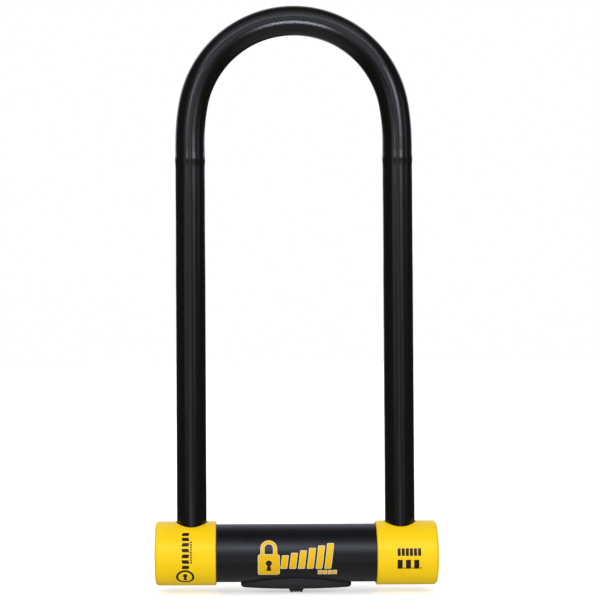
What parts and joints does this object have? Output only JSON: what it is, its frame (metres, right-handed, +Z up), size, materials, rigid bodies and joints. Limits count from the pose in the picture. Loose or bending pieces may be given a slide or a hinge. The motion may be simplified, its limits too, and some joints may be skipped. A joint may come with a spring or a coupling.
{
  "type": "u lock",
  "caption": "Bicycle U lock: a jacketed steel shackle that lifts out of a crossbar, with yellow end caps, a key cylinder driving two bolts, and a sliding keyhole shutter.",
  "frame": {"origin": "centre of the crossbar, on its axis, midway between the two shackle legs", "axes": "+X along the crossbar, +Z up along the shackle legs towards the arch, +Y through the shackle's opening"},
  "size_m": [0.1794, 0.0404, 0.3739],
  "materials": {
    "bright_steel": "machined",
    "dark_steel": "hardened, blackened",
    "spring_steel": "plain",
    "cast_zinc": "cast",
    "brass": "machined",
    "vinyl": "gloss",
    "bar_vinyl": "satin",
    "yellow_cap": "satin gloss",
    "bush_plastic": "moulded",
    "cover_plastic": "moulded satin",
    "soft_rubber": "matte"
  },
  "bodies": {
    "crossbar": {"crossbar_tube": "dark_steel", "crossbar_jacket": "bar_vinyl", "end_cap_left": "yellow_cap", "end_cap_right": "yellow_cap", "foot_bush_left": "bush_plastic", "foot_bush_right": "bush_plastic", "foot_buffer_left": "soft_rubber", "foot_buffer_right": "soft_rubber", "leg_seal_left": "soft_rubber", "leg_seal_right": "soft_rubber", "end_plug_left": "dark_steel", "end_plug_right": "dark_steel", "plug_pins": "spring_steel", "lock_block_lower": "cast_zinc", "lock_block_upper": "cast_zinc", "bolt_guide_left": "bush_plastic", "bolt_guide_right": "bush_plastic", "cylinder_shell": "brass", "retaining_pin": "spring_steel", "keyhole_cover": "cover_plastic", "cover_gasket": "soft_rubber", "cover_screws": "spring_steel"},
    "key_cylinder": {"key_barrel": "brass", "barrel_tail": "brass", "drill_plate": "spring_steel", "detainer_discs": "brass", "disc_spacers": "spring_steel", "sidebar": "spring_steel", "drive_cam": "bright_steel", "cam_screw": "spring_steel"},
    "right_bolt": {"bolt_right": "bright_steel", "drive_pin_right": "spring_steel"},
    "left_bolt": {"bolt_left": "bright_steel", "drive_pin_left": "spring_steel"},
    "shackle": {"shackle_bar": "bright_steel", "shackle_jacket": "vinyl"},
    "dust_shutter": {"shutter": "cover_plastic"}
  },
  "joints": [
    {"name": "shackle_lift", "type": "slide", "parent": "crossbar", "child": "shackle", "axis": [0, 0, 1], "range_m": [0, 0.06]},
    {"name": "key_turn", "type": "hinge", "parent": "crossbar", "child": "key_cylinder", "pos_m": [0, 0, 0], "axis": [0, 0, 1], "range_deg": [0, 90]},
    {"name": "bolt_right_slide", "type": "slide", "parent": "crossbar", "child": "right_bolt", "axis": [1, 0, 0], "range_m": [0, 0.0055]},
    {"name": "bolt_left_slide", "type": "slide", "parent": "crossbar", "child": "left_bolt", "axis": [-1, 0, 0], "range_m": [0, 0.0055]},
    {"name": "shutter_slide", "type": "slide", "parent": "crossbar", "child": "dust_shutter", "axis": [1, 0, 0], "range_m": [0, 0.0145]}
  ],
  "couplings": [
    {"joint": "key_turn", "follows": "bolt_right_slide", "rad_per_m": 285.6},
    {"joint": "bolt_left_slide", "follows": "bolt_right_slide", "ratio": 1}
  ]
}
